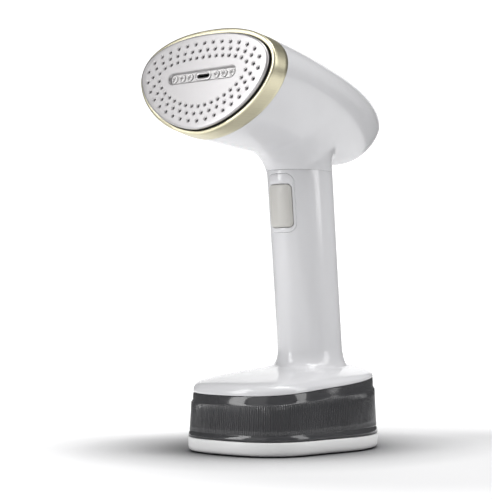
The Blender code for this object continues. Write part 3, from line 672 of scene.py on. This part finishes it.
def makeRing():
    front, back = plateShape["ringFront"], plateShape["ringBack"]
    rings = [plateRing(320, w, grow) for w, grow in
             ((front + 2.2, 0.4), (front + 0.5, 0.4), (front + 0.12, 0.6), (front, 0.95), (front, 2.2))]
    lip, rear = np.array(plateShape["lipSize"]), np.array(plateShape["ringBackSize"])
    rings += [eggRing(320, front + w, *(lip - shrink)) for w, shrink in
              ((0.1, 0.8), (0.35, 0.35), (0.7, 0.1), (1.1, 0.0))]
    for share in (0.25, 0.5, 0.75, 0.97):
        rings.append(eggRing(320, front + 1.1 + (back - front - 1.1) * share, *(lip + (rear - lip) * share)))
    rings.append(eggRing(320, back, *(rear - 0.25)))
    rings.append(plateRing(320, back, 2.2))
    makePiece("champagneRing", *skinRings(rings, closed=True), "champagne", "handset", ("trim_ring",),
              "champagne_ring", 45)
    layers = ((2.0, -1.6), (2.0, -0.75), (2.2, -0.5), (6.0, -0.5), (6.0, -5.5), (2.4, -5.5))
    makePiece("plateGasket", *skinRings([plateRing(256, w, g) for w, g in layers], closed=True),
              "blackRubber", "handset", ("plate_gasket",), "dark_rubber", 45)


# steam plate: rows of holes round a shallow trough
holeLook = {"perRow": 32, "radius": 0.8, "rimRadius": 1.7, "rimDepth": 0.5,
            "rows": ((49.0, 17.95, 35.1, 8.3, 0.0), (44.1, 13.2, 30.0, 8.2, 0.5),
                     (38.6, 9.3, 24.3, 7.4, 0.0))}
troughLook = {"length": 59.6, "height": 9.0, "midV": 4.2,
              "wall": ((-1.0, 0.0), (0.0, 0.0), (0.12, 0.18), (0.35, 0.6), (1.9, 1.4), (3.0, 1.4))}


def evenSpots(half, up, down, middle, shift, count):
    fine = pi / 2 - np.linspace(0, 2 * pi, 2881)
    u, v = eggPoints(fine, half, up, down)
    run = np.concatenate([[0], np.cumsum(np.hypot(np.diff(u), np.diff(v)))])
    goals = (np.arange(count) + shift) / count * run[-1]
    return np.interp(goals, run, u), np.interp(goals, run, v) + middle


def turnedCutter(spots, profile, sides=14):
    # one turned tool at each spot; profile is (radius, w) from the inside out
    points, faces, base = [], [], 0
    angles = ringAngles(sides)
    for u, v in spots:
        rings = [headToWorld(u + r * np.cos(angles), v + r * np.sin(angles), np.full(sides, w))
                 for r, w in profile]
        p, f = skinRings(rings)
        points.append(p)
        faces += [tuple(k + base for k in face) for face in f]
        base += len(p)
    return np.concatenate(points), faces


def slotRing(length, height, w, midV, perEnd=16):
    radius = height / 2
    straight = length / 2 - radius
    line = []
    for side in (1, -1):
        for k in range(perEnd + 1):
            a = -pi / 2 + pi * k / perEnd
            line.append((side * (straight + radius * cos(a)), side * radius * sin(a) + midV))
    line = np.array(line)
    return headToWorld(line[:, 0], line[:, 1], np.full(len(line), w))


def makePlate():
    edge = ((0.0, -1.75), (0.03, -1.3), (0.14, -0.8), (0.35, -0.4), (0.7, -0.1), (1.1, 0.0), (1.8, 0.0))
    plate = makePiece("steamPlate", *skinRings([plateRing(320, w, g) for w, g in edge]), "plateSatin",
                      "handset", ("steam_plate",), "plate_metal", 45)
    spots = []
    for row in holeLook["rows"]:
        spots += list(zip(*evenSpots(*row, holeLook["perRow"])))
    radius, wide, deep = holeLook["radius"], holeLook["rimRadius"], holeLook["rimDepth"]
    profile = ((radius, 3.0), (radius, deep), (wide, -0.02), (wide, -1.0))
    holes = looseShape("holeTools", *turnedCutter(spots, profile))
    length, height = troughLook["length"], troughLook["height"]
    trough = [slotRing(length - 2 * inset, height - 2 * inset, w, troughLook["midV"])
              for w, inset in troughLook["wall"]]
    cutWith(plate, holes, looseShape("troughTool", *skinRings(trough)))
    dress(plate, "plateSatin", 28)


nozzleLook = {"jets": (11.4, 18.2, 25.0), "jetRadius": 2.65, "top": 1.35, "floor": 2.2,
              "strip": (60.6, 10.4), "boss": (13.8, 6.2), "slot": (10.6, 2.7)}


def makeNozzleStrip():
    midV, top, floor = troughLook["midV"], nozzleLook["top"], nozzleLook["floor"]
    base = [slotRing(*nozzleLook["strip"], w, midV) for w in (floor + 1.2, floor)]
    strip = makePiece("nozzleStrip", *skinRings(base), "nozzleSatin", "handset", ("nozzle_strip",),
                      "plate_metal", 40)
    length, height = nozzleLook["boss"]
    boss = [slotRing(length - 2 * inset, height - 2 * inset, w, midV) for w, inset in
            ((floor + 0.6, 0.0), (top + 0.35, 0.0), (top + 0.1, 0.12), (top, 0.4))]
    wide, tall = nozzleLook["slot"]
    bore = [slotRing(wide + 1.9, tall + 1.9, top - 1.0, midV), slotRing(wide + 1.9, tall + 1.9, top, midV),
            slotRing(wide + 1.5, tall + 1.5, top + 0.35, midV), slotRing(wide, tall, top + 0.6, midV),
            slotRing(wide, tall, floor + 4.0, midV)]
    bossPiece = makePiece("nozzleBoss", *skinRings(boss), "nozzleSatin", "handset", (), "plate_metal", 40)
    cutWith(bossPiece, looseShape("slotTool", *skinRings(bore)))
    cutWith(strip, looseShape("slotToolBack", *skinRings(bore)))
    dress(bossPiece, "nozzleSatin", 40)
    dress(strip, "nozzleSatin", 40)
    r = nozzleLook["jetRadius"]
    profile = ((r, floor + 0.5), (r, top + 0.3), (r - 0.12, top + 0.1), (r - 0.4, top),
               (r - 0.8, top + 0.02), (r - 1.0, top + 0.2), (r - 1.1, top + 0.45), (r - 1.35, top + 0.4),
               (0.85, top + 0.15), (0.7, top + 0.25), (0.6, top + 0.5), (0.6, floor + 0.5))
    for i, u in enumerate([side * u for side in (-1, 1) for u in nozzleLook["jets"]]):
        points, faces = turnedCutter([(u, midV)], profile, sides=36)
        makePiece(f"nozzleJet{i + 1}", points, faces, "nozzleSatin", "handset", (), "plate_metal", 40)


makeHousing()
makeRing()
makePlate()
makeNozzleStrip()
print("steam head ready")


# inner pieces keep their solids and get their finishes
innerFinish = {
    "white_shell": "shellWhite", "white_foot": "footWhite", "smoked_tank": "smokedTank",
    "plate_metal": "plateSatin", "champagne_ring": "champagne", "trigger_grey": "triggerGrey",
    "dark_rubber": "blackRubber", "black_plastic": "blackPlastic", "cast_aluminium": "castMetal",
    "steel": "plainSteel", "copper_coil": "copperWinding", "silicone_tube": "milkySilicone",
    "board_green": "boardGreen", "amber_lens": "amberLens", "lead_red": "leadRed",
    "lead_blue": "leadBlue",
}
for subpart in frame["record"]["subparts"]:
    node = nodes[subpart["node"]]
    node.data.materials.clear()
    node.data.materials.append(finish[innerFinish[subpart["material_slot"]]])
print("inner pieces dressed")


# pale floor with painted shade round the steamer, wall and soft lights
stageLook = {"floor": (0.74, 0.74, 0.745), "right": 0.67, "left": -1.9, "front": -1.3, "wallAway": 1.5,
             "wallHalf": 0.6, "bend": 0.3, "height": 1.0, "back": 1.6, "roughness": 0.75,
             # nearGlow, farGlow, fadeFrom, fadeTo and centre set the floor's glow ramp, painted shade round
             # the steamer
             "nearGlow": 0.0, "farGlow": 0.6, "fadeFrom": 0.14, "fadeTo": 0.36,
             # shadeReach, shadeDepth, shadeEnds and shade set the painted contact shadow on the floor
             "centre": (0.09, 0.01, 0.0), "shadeReach": 0.09, "shadeDepth": 2.8,
             "shadeEnds": (0.22, 0.34), "shade": (0.05, 0.05, 0.055)}
# side is the angle round from the steam plate's front, rise the height angle, both in degrees
lightLook = {
    "frontStrip": {"side": -27, "rise": 22, "away": 1.3, "size": (0.42, 1.2), "glow": 6.2},
    "frontFill": {"side": 6, "rise": 22, "away": 1.35, "size": (0.95, 1.1), "glow": 0.75},
    "sideBox": {"side": 112, "rise": 42, "away": 1.3, "size": (0.48, 2.3), "glow": 3.9},
    "topBox": {"side": 90, "rise": 77, "away": 1.5, "size": (0.8, 0.8), "glow": 6.5},
}
worldGlow = 0.12


def glowFrom(tree, shader, near, far, low, high):
    # painted shade on the floor: emission grows with the distance from the steamer, so the floor is darker
    # close to it; the wall gets the same glow all over
    place = tree.nodes.new("ShaderNodeTexCoord")
    away = tree.nodes.new("ShaderNodeVectorMath")
    away.operation = "DISTANCE"
    away.inputs[1].default_value = stageLook["centre"]
    tree.links.new(place.outputs["Object"], away.inputs[0])
    ranger = tree.nodes.new("ShaderNodeMapRange")
    ranger.interpolation_type = "SMOOTHSTEP"
    for socket, value in (("From Min", near), ("From Max", far), ("To Min", low), ("To Max", high)):
        ranger.inputs[socket].default_value = value
    tree.links.new(away.outputs["Value"], ranger.inputs["Value"])
    tree.links.new(ranger.outputs["Result"], shader.inputs["Emission Strength"])
    shader.inputs["Emission Color"].default_value = (1, 1, 1, 1)
    shader.inputs["Specular IOR Level"].default_value = 0.2
    return away


def contactShade(tree, shader, colour, away):
    # painted contact shadow: an ambient occlusion node darkens the floor's colour close to the foot
    shade = tree.nodes.new("ShaderNodeAmbientOcclusion")
    shade.samples = 8
    shade.inputs["Distance"].default_value = stageLook["shadeReach"]
    deepen = tree.nodes.new("ShaderNodeMath")
    deepen.operation = "POWER"
    deepen.inputs[1].default_value = stageLook["shadeDepth"]
    tree.links.new(shade.outputs["AO"], deepen.inputs[0])
    outside = tree.nodes.new("ShaderNodeMapRange")
    outside.inputs["From Min"].default_value = stageLook["shadeEnds"][0]
    outside.inputs["From Max"].default_value = stageLook["shadeEnds"][1]
    tree.links.new(away.outputs["Value"], outside.inputs["Value"])
    lighter = tree.nodes.new("ShaderNodeMath")
    lighter.operation = "MAXIMUM"
    tree.links.new(deepen.outputs["Value"], lighter.inputs[0])
    tree.links.new(outside.outputs["Result"], lighter.inputs[1])
    mixer = tree.nodes.new("ShaderNodeMix")
    mixer.data_type = "RGBA"
    mixer.inputs["A"].default_value = (*stageLook["shade"], 1)
    mixer.inputs["B"].default_value = (*colour, 1)
    tree.links.new(lighter.outputs["Value"], mixer.inputs["Factor"])
    tree.links.new(mixer.outputs["Result"], shader.inputs["Base Color"])


def makeStage():
    look = stageLook
    flat = [(look["left"], look["front"]), (look["right"], look["front"]),
            (look["right"], look["back"]), (look["left"], look["back"])]
    turn = Matrix.Rotation(radians(cameraSetup["swing"]), 3, "Z")
    profile = [(look["wallAway"] - 0.3, 0.002)]
    for k in range(17):
        a = pi / 2 * k / 16
        profile.append((look["wallAway"] + look["bend"] * sin(a), 0.002 + look["bend"] * (1 - cos(a))))
    profile.append((look["wallAway"] + look["bend"], look["height"]))
    wall = [turn @ Vector((x, y, z)) for y, z in profile for x in (-look["wallHalf"], look["wallHalf"])]
    for name, points, faces, low in (
            ("paleFloor", [(x, y, 0.0) for x, y in flat], [(0, 1, 2, 3)], look["nearGlow"]),
            ("paleWall", [tuple(p) for p in wall],
             [(2 * i, 2 * i + 1, 2 * i + 3, 2 * i + 2) for i in range(len(profile) - 1)],
             look["farGlow"])):
        mesh = bpy.data.meshes.new(name)
        mesh.from_pydata(points, [], faces)
        mesh.shade_smooth()
        item = bpy.data.objects.new(name, mesh)
        bpy.context.scene.collection.objects.link(item)
        material, shader = newMaterial(name, look["floor"], look["roughness"])
        away = glowFrom(material.node_tree, shader, look["fadeFrom"], look["fadeTo"], low,
                        look["farGlow"])
        contactShade(material.node_tree, shader, look["floor"], away)
        item.data.materials.append(material)


def makeLights():
    target = Vector((0, 0, 0.14))
    for name, look in lightLook.items():
        data = bpy.data.lights.new(name, "AREA")
        data.shape = "RECTANGLE"
        data.size, data.size_y = look["size"]
        data.energy = look["glow"] * pi * data.size * data.size_y
        side, rise = radians(look["side"]), radians(look["rise"])
        lamp = bpy.data.objects.new(name, data)
        lamp.location = target + look["away"] * Vector((sin(side) * cos(rise), -cos(side) * cos(rise),
                                                        sin(rise)))
        lamp.rotation_euler = (target - lamp.location).to_track_quat("-Z", "Y").to_euler()
        lamp.visible_camera = False
        bpy.context.scene.collection.objects.link(lamp)
    world = bpy.data.worlds.new("studio")
    world.use_nodes = True
    back = world.node_tree.nodes["Background"]
    back.inputs["Color"].default_value = (1.0, 1.0, 1.0, 1)
    back.inputs["Strength"].default_value = worldGlow
    bpy.context.scene.world = world
    bpy.context.scene.view_settings.view_transform = "Standard"


makeStage()
makeLights()
print("stage ready")
